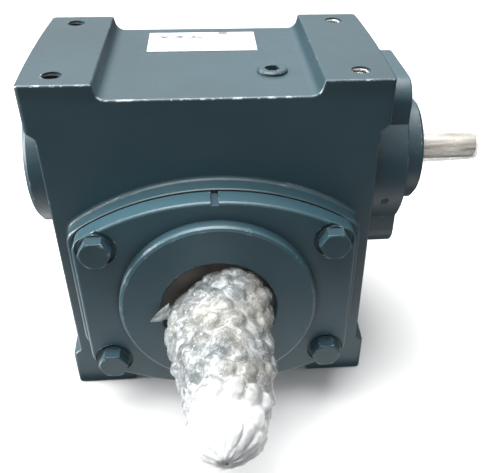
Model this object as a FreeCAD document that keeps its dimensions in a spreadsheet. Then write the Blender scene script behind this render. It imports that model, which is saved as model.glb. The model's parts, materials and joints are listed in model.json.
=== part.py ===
import FreeCAD, Part
import math
import os
import re

import Sketcher
from FreeCAD import Placement, Rotation, Vector

# A right angle worm gearbox with feet on two faces. Millimetres.
# X runs along the input (worm) shaft, which comes out at +X. The output (wheel) shaft
# comes out at -Y. Z is up, and the origin is the centre of the base.

SIZES = {
    # case
    "case_height": 170.6,
    "case_depth": 95.0,
    "body_half_width": 75.0,
    "pad_thickness": 19.6,
    "pad_slope": 4.4,
    "pad_reach": 80.2,
    "pad_bulge_radius": 940.0,
    "corner_radius": 2.2,
    "recess_half_width": 46.7,
    "recess_slope": 1.5,
    "recess_depth": 6.8,
    "channel_fillet": 5.0,
    "edge_radius": 1.0,
    "cast_fillet": 2.0,
    "mount_x": 65.6,
    "mount_y": 36.1,
    "mount_hole_radius": 4.3,
    "mount_hole_depth": 16.0,
    "chamber_half_width": 66.0,
    "chamber_half_depth": 39.5,
    "chamber_floor": 24.0,
    "sump_half_width": 54.0,
    "sump_floor": 15.0,
    # how far blanks run past the case, cutters past a face, and bosses into a wall
    "trim": 5.0,
    "overrun": 1.0,
    "embed": 2.0,
    # shaft heights
    "output_height": 70.65,
    "input_height": 115.1,
    # output covers
    "joint_y": 57.1,
    "gasket": 0.4,
    "boss_half_width": 68.3,
    "flange_half_width": 64.0,
    "flange_thickness": 10.9,
    "arc_radius": 115.4,
    "arc_apex": 55.1,
    "barrel_corner": 9.0,
    "rim_radius": 1.6,
    "opening_radius": 44.0,
    "spigot_end": 45.5,
    "hub_radius": 46.3,
    "hub_chamfer": 1.8,
    "hub_face": 74.7,
    "rear_hub_face": 71.0,
    "rear_cap_room": 3.0,
    "cup_lip": 3.5,
    "seal_lead_in": 1.0,
    "gasket_inset": 1.2,
    "bolt_x": 53.2,
    "bolt_z": 33.5,
    "bolt_radius": 3.97,
    "bolt_clearance": 4.3,
    "bolt_depth": 14.0,
    "bolt_flats": 12.7,
    "bolt_head": 6.0,
    "crown_inset": 0.2,
    "crown_spread": 1.7,
    "washer_radius": 7.5,
    "washer_thickness": 0.9,
    "spotface_radius": 9.2,
    "spotface_depth": 0.8,
    "notch_width": 3.6,
    "notch_depth": 1.6,
    # input side of the case
    "ear_half_width": 27.5,
    "ear_half_height": 45.5,
    "ear_radius": 11.0,
    "ear_hole_radius": 3.4,
    "ear_hole_depth": 15.0,
    "side_disc_radius": 37.5,
    "side_face": 93.6,
    "pilot_radius": 26.2,
    "pilot_face": 104.5,
    "pilot_chamfer": 1.5,
    "inner_boss_radius": 27.0,
    "inner_boss_end": 58.0,
    "shoulder_step": 0.5,
    "end_boss_radius": 32.0,
    "end_boss_face": 87.8,
    "end_boss_chamfer": 2.0,
    "end_cap_radius": 22.0,
    "end_cap_seat": 80.0,
    "end_cap_face": 86.6,
    "end_cap_wall": 1.8,
    "end_cap_rim": 4.8,
    "end_cap_dish": 2.8,
    "end_cap_bend": 1.5,
    "vent_x": 84.3,
    "vent_drop": 11.6,
    "vent_start": 29.5,
    "vent_length": 6.0,
    "vent_radius": 2.0,
    # plugs and nameplate
    "plug_x": 28.8,
    "plug_y": 17.6,
    "plug_radius": 6.9,
    "plug_proud": 1.7,
    "plug_length": 10.0,
    "plug_chamfer": 0.7,
    "plug_hex": 6.6,
    "plug_hex_depth": 6.0,
    "plate_x": -2.8,
    "plate_y": 25.3,
    "plate_width": 53.8,
    "plate_height": 28.5,
    "plate_thickness": 0.3,
    # output shaft and wheel
    "output_radius": 12.7,
    "output_end": 133.0,
    "shaft_chamfer": 1.2,
    "shaft_step": 1.0,
    "shaft_overhang": 0.8,
    "output_seat": 14.5,
    "output_seal_seat": 13.5,
    "wheel_seat": 16.0,
    "collar_radius": 19.0,
    "wheel_hub_radius": 23.0,
    "wheel_hub_half": 12.0,
    "rim_inner": 27.5,
    "rim_half": 9.0,
    "wheel_teeth": 30,
    "gear_module": 2.25,
    "pressure_angle": 20.0,
    "dedendum": 1.2,
    "thread_root": 1.3,
    "tooth_thinning": 0.45,
    "key_half_width": 4.0,
    "key_depth": 4.0,
    "key_height": 7.0,
    "key_half_length": 11.0,
    "pin_radius": 2.0,
    "pin_length": 10.0,
    "pin_count": 4,
    "output_keyway_half": 3.2,
    "output_keyway_depth": 3.2,
    "output_keyway_length": 45.0,
    # tapered roller bearings
    "output_bearing_start": 45.5,
    "output_bearing_width": 14.2,
    "cup_start": 3.5,
    "cup_radius": 25.15,
    "roller_pitch": 19.8,
    "roller_mid": 7.5,
    "roller_slope": 0.2126,
    "roller_radius": 2.5,
    "roller_taper": 0.0408,
    "roller_half": 4.9,
    "roller_count": 17,
    "pocket_gap": 0.15,
    "large_rib_radius": 20.0,
    "large_rib": 1.9,
    "small_rib_radius": 16.9,
    "small_rib": 12.3,
    "cage_start": 1.3,
    "cage_end": 13.4,
    "cage_half_wall": 0.6,
    # worm shaft
    "worm_pitch_radius": 10.7,
    "worm_half_length": 17.0,
    "worm_relief": 7.5,
    "worm_relief_start": 1.0,
    "worm_relief_end": 6.0,
    "worm_collar": 10.5,
    "worm_collar_start": 10.0,
    "worm_seat": 8.5,
    "input_seal_seat": 7.5,
    "input_radius": 6.35,
    "input_end": 139.0,
    "input_keyway_half": 1.6,
    "input_keyway_depth": 1.8,
    "input_keyway_length": 26.0,
    "ring_groove": 8.0,
    "ring_radius": 10.2,
    "ring_thickness": 1.2,
    "ring_gap": 3.0,
    # ball bearings
    "ball_bearing_start": 66.0,
    "ball_bearing_width": 12.0,
    "ball_outer_radius": 20.0,
    "ball_outer_land": 17.0,
    "ball_inner_land": 11.5,
    "ball_pitch": 14.25,
    "ball_radius": 3.375,
    "ball_count": 8,
    "ball_cage_inner": 13.3,
    "ball_cage_outer": 15.2,
    "ball_cage_half": 4.4,
    "running_gap": 0.12,
    "circlip_inner": 18.2,
    "circlip_groove": 21.0,
    # oil seals
    "output_seal_radius": 26.7,
    "output_seal_face": 69.7,
    "output_seal_width": 8.0,
    "input_seal_face": 103.0,
    "input_seal_width": 7.0,
    "seal_wall": 1.2,
    "seal_gap": 0.15,
    "lip_room": 4.0,
    "lip_back": 3.4,
    "lip_web": 2.0,
    "lip_land": 0.4,
    "dust_lip": 0.7,
    "spring_ring": 3.1,
    "spring_radius": 0.8,
    "spring_groove": 0.9,
    "spring_set": 1.6,
    # packing over the shafts
    "output_wrap_start": 72.0,
    "output_wrap_end": 161.0,
    "output_wrap_bore": 15.2,
    "wrap_wall_start": 9.2,
    "wrap_wall_bulge": 9.7,
    "wrap_wall_middle": 6.3,
    "wrap_wall_far": 3.0,
    "wrap_wall_end": 2.6,
    "input_wrap_start": 105.2,
    "input_wrap_end": 141.8,
    "input_wrap_bore": 8.4,
    "input_wrap_radius": 9.1,
}

ALONG = {
    "+x": Rotation(Vector(0, 1, 0), 90),
    "-x": Rotation(Vector(0, 1, 0), -90),
    "+y": Rotation(Vector(1, 0, 0), -90),
    "-y": Rotation(Vector(1, 0, 0), 90),
    "+z": Rotation(),
    "-z": Rotation(Vector(1, 0, 0), 180),
}

doc = FreeCAD.newDocument("worm_gearbox")
sheet = doc.addObject("Spreadsheet::Sheet", "Sizes")
for row, (name, number) in enumerate(SIZES.items(), start=1):
    sheet.set(f"A{row}", name)
    sheet.set(f"B{row}", str(number))
    sheet.setAlias(f"B{row}", name)
doc.recompute()

TOUCH = 0.01
SHORTEST_EDGE = 0.1
SKETCH_START = 10.0


# ---- helpers -------------------------------------------------------------------------

def size(name):
    """A driving size read back from the sheet."""
    return float(sheet.get(name))


def formula(text):
    """An expression in sheet aliases, such as "case_depth / 2", as FreeCAD wants it."""
    def with_sheet(match):
        return f"Sizes.{match[0]}" if match[0] in SIZES else match[0]
    return re.sub(r"[a-z][a-z_]*", with_sheet, str(text))


def bind(thing, **formulas):
    """Bind properties to formulas in the sheet's aliases."""
    for name, text in formulas.items():
        thing.setExpression(name, formula(text))
    return thing


def place(thing, at=(0, 0, 0), along="+z"):
    """Turn a piece's own +Z along an axis and bind its position."""
    thing.Placement = Placement(Vector(), ALONG[along])
    for letter, text in zip("xyz", at):
        if text != 0:
            thing.setExpression(f"Placement.Base.{letter}", formula(text))
    return thing


def make(kind, name):
    thing = doc.addObject(kind, name)
    thing.Label = name
    return thing


def box(name, low, size):
    block = bind(make("Part::Box", name), Length=size[0], Width=size[1], Height=size[2])
    return place(block, low)


def rod(name, radius, length, at=(0, 0, 0), along="+z"):
    cylinder = bind(make("Part::Cylinder", name), Radius=radius, Height=length)
    return place(cylinder, at, along)


def hexagon(name, flats, length, at=(0, 0, 0), along="+z"):
    prism = make("Part::Prism", name)
    prism.Polygon = 6
    bind(prism, Circumradius=f"{flats} / sqrt(3)", Height=length)
    return place(prism, at, along)


def torus(name, ring_radius, tube_radius, height):
    ring = bind(make("Part::Torus", name), Radius1=ring_radius, Radius2=tube_radius)
    return place(ring, (0, 0, height))


def fused(name, pieces):
    whole = make("Part::MultiFuse", name)
    whole.Shapes = pieces
    return whole


def common(name, pieces):
    whole = make("Part::MultiCommon", name)
    whole.Shapes = pieces
    return whole


def cut(name, base, tools):
    """Base less every tool."""
    result = make("Part::Cut", name)
    result.Base = base
    result.Tool = tools[0] if len(tools) == 1 else fused(f"{name}_tools", tools)
    return result


def group(name, pieces):
    """Separate solids kept as one node."""
    compound = make("Part::Compound", name)
    compound.Links = pieces
    return compound


def rounded(name, base, radius, chosen):
    """Round the edges of base that the function chosen picks."""
    doc.recompute()
    result = make("Part::Fillet", name)
    result.Base = base
    result.Edges = [(index, size(radius), size(radius))
                    for index, edge in enumerate(base.Shape.Edges, start=1) if chosen(edge)]
    doc.recompute()
    return result


def outlined(name, plane, outline):
    """A body with a closed sketch of straight lines, every corner bound to two formulas."""
    body = make("PartDesign::Body", name)
    sketch = body.newObject("Sketcher::SketchObject", f"{name}_outline")
    origin_plane = [part for part in body.Origin.OriginFeatures if part.Role == plane][0]
    sketch.AttachmentSupport = (origin_plane, "")
    sketch.MapMode = "FlatFace"
    count = len(outline)
    turns = [2 * math.pi * step / count for step in range(count)]
    corners = [Vector(SKETCH_START * math.cos(turn), SKETCH_START * math.sin(turn), 0) for turn in turns]
    for step in range(count):
        sketch.addGeometry(Part.LineSegment(corners[step], corners[(step + 1) % count]), False)
    for step in range(count):
        sketch.addConstraint(Sketcher.Constraint("Coincident", step, 2, (step + 1) % count, 1))
    for step, (across, up) in enumerate(outline):
        for kind, start, text in (("DistanceX", corners[step].x, across),
                                  ("DistanceY", corners[step].y, up)):
            index = sketch.addConstraint(Sketcher.Constraint(kind, -1, 1, step, 1, start))
            sketch.setExpression(f"Constraints[{index}]", formula(text))
    return body, sketch


def turned(name, outline, at=(0, 0, 0), along="+z"):
    """A lathe-turned piece: an outline of (radius, height) corners spun about its own Z."""
    body, sketch = outlined(name, "XZ_Plane", outline)
    spin = body.newObject("PartDesign::Revolution", f"{name}_turning")
    spin.Profile = sketch
    spin.ReferenceAxis = (sketch, ["V_Axis"])
    return place(body, at, along)


def on_plane(letter, level):
    """A test for edges that lie in the plane where x, y or z is level."""
    def test(edge):
        low = getattr(edge.BoundBox, letter.upper() + "Min")
        high = getattr(edge.BoundBox, letter.upper() + "Max")
        return abs(low - level) < TOUCH and abs(high - level) < TOUCH
    return test


def runs_along(letter):
    """A test for straight edges parallel to an axis."""
    def test(edge):
        bounds = edge.BoundBox
        lengths = {"x": bounds.XLength, "y": bounds.YLength, "z": bounds.ZLength}
        rest = [length for name, length in lengths.items() if name != letter]
        return lengths[letter] > SHORTEST_EDGE and max(rest) < TOUCH
    return test


nodes = []


def keep(thing, label=None):
    """List a finished piece as a node."""
    if label:
        thing.Label = label
    nodes.append(thing)
    return thing


OUTPUT_AXIS = (0, 0, "output_height")
INPUT_AXIS = (0, 0, "input_height")
BOSS_ROOT = "(chamber_half_width + embed)"
VENT_AT = ("vent_x", "-vent_start", "input_height - vent_drop")


# ---- case ----------------------------------------------------------------------------

def barrel(name, half_width, start, thickness, along):
    """A plate with flat sides and bulged top and bottom, centred on the output shaft."""
    arc = "arc_radius - arc_apex"
    plate = box(f"{name}_plate", (f"-{half_width}", "-arc_radius", start),
                (f"2 * {half_width}", "2 * arc_radius", thickness))
    upper = rod(f"{name}_upper_arc", "arc_radius", thickness, (0, f"-({arc})", start))
    lower = rod(f"{name}_lower_arc", "arc_radius", thickness, (0, arc, start))
    outline = common(f"{name}_outline", [plate, upper, lower])
    return rounded(name, outline, "barrel_corner", runs_along("z"))


def front_profile():
    """The case seen from the front: feet on top and bottom, with a channel between them."""
    half = [
        ("recess_half_width", "recess_depth"),
        ("recess_half_width + recess_slope", "0"),
        ("pad_reach + trim", "0"),
        ("pad_reach + trim", "pad_thickness"),
        ("pad_reach", "pad_thickness"),
        ("body_half_width", "pad_thickness + pad_slope"),
    ]
    right = half + [(across, f"case_height - ({up})") for across, up in reversed(half)]
    left = [(f"-({across})", up) for across, up in reversed(right)]
    body, sketch = outlined("case_profile", "XZ_Plane", right + left)
    pad = body.newObject("PartDesign::Pad", "case_profile_pad")
    pad.Profile = sketch
    pad.Midplane = True
    bind(pad, Length="case_depth")
    doc.recompute()
    floors = (size("recess_depth"), size("case_height") - size("recess_depth"))
    waists = (size("body_half_width"), size("recess_half_width") + size("recess_slope"))

    def in_channel_corner(edge):
        height = edge.BoundBox.Center.z
        return runs_along("y")(edge) and min(abs(height - floor) for floor in floors) < SHORTEST_EDGE

    def on_waist(edge):
        across = abs(edge.BoundBox.Center.x)
        return runs_along("y")(edge) and min(abs(across - waist) for waist in waists) < SHORTEST_EDGE

    before = pad
    for name, radius, chosen in (("channel_fillet", "channel_fillet", in_channel_corner),
                                 ("edge_fillet", "edge_radius", on_waist)):
        fillet = body.newObject("PartDesign::Fillet", f"case_profile_{name}")
        fillet.Base = (before, [f"Edge{index}" for index, edge in enumerate(before.Shape.Edges, start=1)
                                if chosen(edge)])
        bind(fillet, Radius=radius)
        doc.recompute()
        before = fillet
    return body


def case_block():
    """The outer block of the casting, with rounded corners and feet that bulge a little."""
    plan_box = box("case_plan_box", ("-pad_reach - trim", "-case_depth / 2", 0),
                   ("2 * pad_reach + 2 * trim", "case_depth", "case_height"))
    shift = "pad_bulge_radius - pad_reach"
    right_arc = rod("case_plan_right", "pad_bulge_radius", "case_height", (f"-({shift})", 0, 0))
    left_arc = rod("case_plan_left", "pad_bulge_radius", "case_height", (shift, 0, 0))
    plan = common("case_plan", [plan_box, right_arc, left_arc])
    plan_round = rounded("case_plan_round", plan, "corner_radius", runs_along("z"))
    block = common("case_block", [front_profile(), plan_round])
    half = size("case_depth") / 2
    return rounded("case_block_rounded", block, "edge_radius",
                   lambda edge: on_plane("y", half)(edge) or on_plane("y", -half)(edge))


def ear_plate():
    """The four-eared face round the input shaft: a disc and a rounded upright plate."""
    thickness = f"side_face - {BOSS_ROOT}"
    plate = box("ear_box", ("-ear_half_height", "-ear_half_width", 0),
                ("2 * ear_half_height", "2 * ear_half_width", thickness))
    plate_round = rounded("ear_plate", plate, "ear_radius", runs_along("z"))
    disc = rod("side_disc", "side_disc_radius", thickness)
    face = fused("ear_face", [plate_round, disc])
    face_height = size("side_face") - size("chamber_half_width") - size("embed")
    eased = rounded("ear_face_eased", face, "edge_radius", on_plane("z", face_height))
    return place(eased, (BOSS_ROOT, 0, "input_height"), "+x")


def hole_grid(name, radius, depth, x, y, height, along):
    return [rod(f"{name}_{side_x}{side_y}", radius, depth,
                (f"{sign_x}{x}", f"{sign_y}{y}", height), along)
            for side_x, sign_x in (("r", ""), ("l", "-")) for side_y, sign_y in (("b", ""), ("f", "-"))]


def output_bosses():
    """The two bulged bosses that the output covers bolt to."""
    bosses = []
    for side, along in (("front", "-y"), ("rear", "+y")):
        boss = barrel(f"{side}_boss", "boss_half_width", "chamber_half_depth + embed",
                      "joint_y - chamber_half_depth - embed", along)
        rim = rounded(f"{side}_boss_rim", boss, "rim_radius", on_plane("z", size("joint_y")))
        bosses.append(place(rim, OUTPUT_AXIS, along))
    return bosses


def round_boss(name, radius, face, chamfer, along):
    """A round boss on the worm's axis with a chamfered face."""
    return turned(name, [
        ("0", BOSS_ROOT),
        (radius, BOSS_ROOT),
        (radius, f"{face} - {chamfer}"),
        (f"{radius} - {chamfer}", face),
        ("0", face),
    ], INPUT_AXIS, along)


def case_outside():
    """The casting before anything is cut out of it."""
    pilot = round_boss("pilot", "pilot_radius", "pilot_face", "pilot_chamfer", "+x")
    end_boss = round_boss("end_boss", "end_boss_radius", "end_boss_face", "end_boss_chamfer", "-x")
    joined = fused("case_joined", [case_block(), ear_plate(), pilot, end_boss] + output_bosses())
    half = size("case_depth") / 2
    spare = size("overrun")
    lowest = size("output_height") - size("arc_apex") - spare
    highest = size("output_height") + size("arc_apex") + spare
    widest = size("boss_half_width") + spare

    def at_boss_foot(edge):
        """Edges where the two output bosses rise from the flat faces."""
        bounds = edge.BoundBox
        if not (on_plane("y", half)(edge) or on_plane("y", -half)(edge)):
            return False
        if bounds.ZMin < lowest or bounds.ZMax > highest:
            return False
        return max(abs(bounds.XMin), abs(bounds.XMax)) < widest

    return rounded("case_outside", joined, "cast_fillet", at_boss_foot)


def hollowed(outside):
    """The casting with its chamber and sump, and bosses inside for the worm's bearings."""
    chamber = box("chamber", ("-chamber_half_width", "-chamber_half_depth", "chamber_floor"),
                  ("2 * chamber_half_width", "2 * chamber_half_depth",
                   "case_height - 2 * chamber_floor"))
    sump = box("sump", ("-sump_half_width", "-chamber_half_depth", "sump_floor"),
               ("2 * sump_half_width", "2 * chamber_half_depth", "case_height - 2 * sump_floor"))
    shell = cut("case_shell", outside, [chamber, sump])
    inner = [rod(f"inner_boss_{side}", "inner_boss_radius", f"{BOSS_ROOT} - inner_boss_end",
                 (f"{sign}inner_boss_end", 0, "input_height"), along)
             for side, sign, along in (("right", "", "+x"), ("left", "-", "-x"))]
    return fused("case_bossed", [shell] + inner)


def output_side_tools():
    """The two big openings and the tapped holes round them."""
    tools = []
    for side, sign, along in (("front", "-", "-y"), ("rear", "", "+y")):
        tools.append(rod(f"{side}_opening", "opening_radius", "joint_y + overrun", OUTPUT_AXIS, along))
        for number, (x, z) in enumerate(bolt_places()):
            at = (x, f"{sign}(joint_y - bolt_depth - overrun)", f"output_height + {z}")
            tools.append(rod(f"{side}_tapped_{number}", "bolt_radius", "bolt_depth + 2 * overrun",
                             at, along))
    return tools


def input_side_tools():
    """Bores for the worm's bearings, end cap and circlip, and the small holes beside them."""
    tools = []
    for side, sign, along in (("right", "", "+x"), ("left", "-", "-x")):
        tools.append(rod(f"shoulder_bore_{side}", "ball_outer_land + shoulder_step",
                         "ball_bearing_start + overrun", INPUT_AXIS, along))
        tools.append(rod(f"bearing_bore_{side}", "ball_outer_radius", "pilot_face",
                         (f"{sign}ball_bearing_start", 0, "input_height"), along))
    tools.append(rod("end_cap_bore", "end_cap_radius", "end_boss_face",
                     ("-end_cap_seat", 0, "input_height"), "-x"))
    tools.append(rod("circlip_groove_tool", "circlip_groove", "ring_thickness",
                     ("ball_bearing_start + ball_bearing_width", 0, "input_height"), "+x"))
    for number, (sign_y, sign_z) in enumerate((("", "+"), ("-", "+"), ("", "-"), ("-", "-"))):
        at = ("side_face - ear_hole_depth", f"{sign_y}(ear_half_width - ear_radius)",
              f"input_height {sign_z} (ear_half_height - ear_radius)")
        tools.append(rod(f"ear_hole_{number}", "ear_hole_radius", "ear_hole_depth + overrun", at, "+x"))
    tools.append(rod("vent_hole", "vent_radius", "2 * vent_length", VENT_AT, "-y"))
    return tools


def housing():
    bossed = hollowed(case_outside())
    tools = output_side_tools() + input_side_tools()
    for name, height, along in (("base_hole", 0, "+z"), ("top_hole", "case_height", "-z")):
        tools += hole_grid(name, "mount_hole_radius", "mount_hole_depth", "mount_x", "mount_y",
                           height, along)
    for name, along in (("fill_hole", "+z"), ("drain_hole", "-z")):
        tools.append(rod(name, "plug_radius", "case_height / 2",
                         ("plug_x", "-plug_y", "case_height / 2"), along))
    keep(cut("housing", bossed, tools))


# ---- output covers -------------------------------------------------------------------

def bolt_places():
    """The four bolts of a cover, measured from the output axis."""
    return [(f"{sign_x}bolt_x", f"{sign_z}bolt_z") for sign_x in ("", "-") for sign_z in ("", "-")]


def output_cover(side, along):
    """A cover with a flange, a hub and a spigot that holds the bearing cup."""
    open_hub = side == "front"
    face = "hub_face" if open_hub else "rear_hub_face"
    start = "joint_y + gasket"
    flange = barrel(f"{side}_flange", "flange_half_width", start, "flange_thickness", along)
    back = size("joint_y") + size("gasket")
    front = back + size("flange_thickness")
    flange_rim = rounded(f"{side}_flange_rim", flange, "rim_radius",
                         lambda edge: on_plane("z", back)(edge) or on_plane("z", front)(edge))
    hub = turned(f"{side}_hub", [
        ("0", "spigot_end"),
        ("opening_radius", "spigot_end"),
        ("opening_radius", start),
        ("hub_radius", start),
        ("hub_radius", f"{face} - hub_chamfer"),
        ("hub_radius - hub_chamfer / 3", f"{face} - hub_chamfer / 3"),
        ("hub_radius - hub_chamfer", face),
        ("0", face),
    ])
    whole = fused(f"{side}_cover_blank", [flange_rim, hub])
    shoulder = "output_bearing_start + output_bearing_width"
    bore = [
        ("0", "spigot_end - overrun"),
        ("cup_radius", "spigot_end - overrun"),
        ("cup_radius", shoulder),
        ("cup_radius - cup_lip", shoulder),
    ]
    if open_hub:
        seal_floor = "output_seal_face - output_seal_width"
        bore += [
            ("cup_radius - cup_lip", seal_floor),
            ("output_seal_radius", seal_floor),
            ("output_seal_radius", f"{face} - seal_lead_in"),
            ("output_seal_radius + seal_lead_in", face),
            ("output_seal_radius + seal_lead_in", f"{face} + overrun"),
            ("0", f"{face} + overrun"),
        ]
    else:
        bore += [
            ("cup_radius - cup_lip", f"{shoulder} + rear_cap_room"),
            ("0", f"{shoulder} + rear_cap_room"),
        ]
    tools = [turned(f"{side}_cover_bore", bore)]
    flange_face = "joint_y + gasket + flange_thickness"
    for number, (x, z) in enumerate(bolt_places()):
        tools.append(rod(f"{side}_bolt_hole_{number}", "bolt_clearance", "flange_thickness + 4 * overrun",
                         (x, z, "joint_y - overrun")))
        tools.append(rod(f"{side}_spotface_{number}", "spotface_radius", "2 * bolt_head",
                         (x, z, f"{flange_face} - spotface_depth")))
    if open_hub:
        tools.append(box("front_notch", ("-notch_width / 2", "arc_apex - notch_depth", start),
                         ("notch_width", "2 * notch_depth", "flange_thickness")))
    cover = cut(f"{side}_cover_shape", whole, tools)
    cover = place(cover, OUTPUT_AXIS, along)
    keep(cover, f"output_cover_{side}")
    cover_gasket(side, along)
    cover_bolts(side, along, f"{flange_face} - spotface_depth")


def cover_gasket(side, along):
    gasket = barrel(f"{side}_gasket_plate", "flange_half_width - gasket_inset", "joint_y", "gasket", along)
    gasket_tools = [rod(f"{side}_gasket_bore", "opening_radius", "joint_y * 2")]
    gasket_tools += [rod(f"{side}_gasket_hole_{number}", "bolt_clearance", "joint_y * 2", (x, z, 0))
                     for number, (x, z) in enumerate(bolt_places())]
    gasket_cut = cut(f"{side}_gasket_shape", gasket, gasket_tools)
    keep(place(gasket_cut, OUTPUT_AXIS, along), f"cover_gasket_{side}")


def cover_bolts(side, along, seat):
    """Four hex bolts with crowned heads and washers, screwed into the case."""
    bolts = []
    for number, (x, z) in enumerate(bolt_places()):
        name = f"{side}_bolt_{number}"
        shank = rod(f"{name}_shank", "bolt_radius", f"{seat} - joint_y + bolt_depth",
                    (x, z, "joint_y - bolt_depth"))
        washer = rod(f"{name}_washer", "washer_radius", "washer_thickness", (x, z, seat))
        head = hexagon(f"{name}_head", "bolt_flats", "bolt_head", (x, z, f"{seat} + washer_thickness"))
        dome = bind(make("Part::Cone", f"{name}_dome"),
                    Radius1="bolt_flats / 2 - crown_inset + crown_spread * bolt_head",
                    Radius2="bolt_flats / 2 - crown_inset", Height="bolt_head")
        place(dome, (x, z, f"{seat} + washer_thickness"))
        crowned = common(f"{name}_crown", [head, dome])
        bolts.append(fused(name, [shank, washer, crowned]))
    keep(place(group(f"{side}_bolts", bolts), OUTPUT_AXIS, along), f"cover_bolts_{side}")


# ---- plugs, nameplate and end cap ------------------------------------------------------

def pipe_plug(name, height, inward, outward):
    """A socket-headed pipe plug whose head stands a little out of the recess."""
    body = turned(f"{name}_body", [
        ("0", "0"),
        ("plug_radius", "0"),
        ("plug_radius", "plug_length - plug_chamfer"),
        ("plug_radius - plug_chamfer", "plug_length"),
        ("0", "plug_length"),
    ])
    socket = hexagon(f"{name}_socket", "plug_hex", "plug_hex_depth + overrun",
                     (0, 0, "plug_length - plug_hex_depth"))
    plug = cut(f"{name}_shape", body, [socket])
    start = f"{height} {inward} (plug_length - plug_proud)"
    keep(place(plug, ("plug_x", "-plug_y", start), outward), name)


def nameplate():
    at = ("plate_x - plate_width / 2", "plate_y - plate_height / 2", "case_height - recess_depth")
    keep(box("nameplate", at, ("plate_width", "plate_height", "plate_thickness")))


def vent_screw():
    keep(rod("vent_screw", "vent_radius", "vent_length", VENT_AT, "-y"))


def worm_end_cap():
    """A pressed steel cup that closes the worm's bore."""
    keep(turned("worm_end_cap", [
        ("0", "end_cap_face - end_cap_dish - end_cap_wall"),
        ("end_cap_radius - 2 * end_cap_wall - end_cap_bend", "end_cap_face - end_cap_dish - end_cap_wall"),
        ("end_cap_radius - 2 * end_cap_wall", "end_cap_face - end_cap_rim - end_cap_wall"),
        ("end_cap_radius", "end_cap_face - end_cap_rim - end_cap_wall"),
        ("end_cap_radius", "end_cap_face"),
        ("end_cap_radius - end_cap_wall", "end_cap_face"),
        ("end_cap_radius - end_cap_wall", "end_cap_face - end_cap_rim"),
        ("end_cap_radius - end_cap_wall - end_cap_bend / 2", "end_cap_face - end_cap_rim"),
        ("end_cap_radius - end_cap_wall - 3 * end_cap_bend / 2", "end_cap_face - end_cap_dish"),
        ("0", "end_cap_face - end_cap_dish"),
    ], INPUT_AXIS, "-x"))


# ---- oil seals -------------------------------------------------------------------------

def oil_seal(name, outer, shaft, face, width, axis, along):
    """A steel case, a rubber lip bonded inside it, and the garter spring in the lip's groove."""
    back = f"{face} - {width}"
    web = f"{face} - seal_wall - lip_web"
    keep(turned(f"{name}_case", [
        (outer, back),
        (outer, face),
        (f"{shaft} + lip_room", face),
        (f"{shaft} + lip_room", f"{face} - seal_wall"),
        (f"{outer} - seal_wall", f"{face} - seal_wall"),
        (f"{outer} - seal_wall", back),
    ], axis, along))
    lip = turned(f"{name}_lip_blank", [
        (f"{shaft} + lip_room", f"{face} - seal_wall"),
        (f"{shaft} + seal_wall", f"{face} - seal_wall"),
        (f"{shaft} + seal_gap", f"{face} - seal_gap"),
        (f"{shaft} + seal_gap", f"{face} - seal_gap - dust_lip"),
        (f"{shaft} + seal_wall", web),
        (f"{shaft} + seal_gap", f"{back} + spring_set + lip_land / 2"),
        (f"{shaft} + seal_gap", f"{back} + spring_set - lip_land / 2"),
        (f"{shaft} + seal_wall", f"{back} + seal_gap"),
        (f"{shaft} + lip_back", f"{back} + seal_gap"),
        (f"{shaft} + lip_back", f"{back} + 2 * spring_set"),
        (f"{shaft} + lip_back - spring_radius", web),
        (f"{outer} - seal_wall", web),
        (f"{outer} - seal_wall", f"{face} - seal_wall"),
    ])
    ring = f"{shaft} + spring_ring"
    groove = torus(f"{name}_groove", ring, "spring_groove", f"{back} + spring_set")
    keep(place(cut(f"{name}_lip_shape", lip, [groove]), axis, along), f"{name}_lip")
    spring = torus(f"{name}_spring_ring", ring, "spring_radius", f"{back} + spring_set")
    keep(place(group(f"{name}_spring_group", [spring]), axis, along), f"{name}_spring")


# ---- bearings --------------------------------------------------------------------------

def race(station, side, gap="running_gap"):
    """Radius of the inner (-1) or outer (+1) roller track at a station along the bearing."""
    run = f"({station} - roller_mid)"
    secant = "sqrt(1 + roller_slope^2)"
    sign = "+" if side > 0 else "-"
    return (f"roller_pitch - roller_slope * {run} {sign} "
            f"((roller_radius - roller_taper * {run}) * {secant} + {gap})")


def turned_about(thing, count, step, radius, height, tilt):
    """Place a copy at one of count equal turns about Z, tipped towards the axis."""
    turn = Placement(Vector(), Rotation(Vector(0, 0, 1), 360.0 * step / count))
    out = Placement(Vector(radius, 0, height), Rotation(Vector(0, 1, 0), tilt))
    thing.Placement = turn.multiply(out)
    return thing


def roller_set(name, growth="0"):
    """Tapered rollers in a ring; growth enlarges them to cut the cage's pockets."""
    half = size("roller_half")
    if growth != "0":
        half += size(growth)
    slope = size("roller_slope")
    tilt = -math.degrees(math.atan(slope))
    stretch = 1 / math.sqrt(1 + slope ** 2)
    count = int(size("roller_count"))
    rollers = []
    for step in range(count):
        roller = bind(make("Part::Cone", f"{name}_{step}"),
                      Radius1=f"roller_radius + roller_taper * roller_half + {growth}",
                      Radius2=f"roller_radius - roller_taper * roller_half + {growth}",
                      Height=f"2 * (roller_half + {growth})")
        height = size("roller_mid") - half * stretch
        radius = size("roller_pitch") + half * slope * stretch
        rollers.append(turned_about(roller, count, step, radius, height, tilt))
    return rollers


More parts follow.
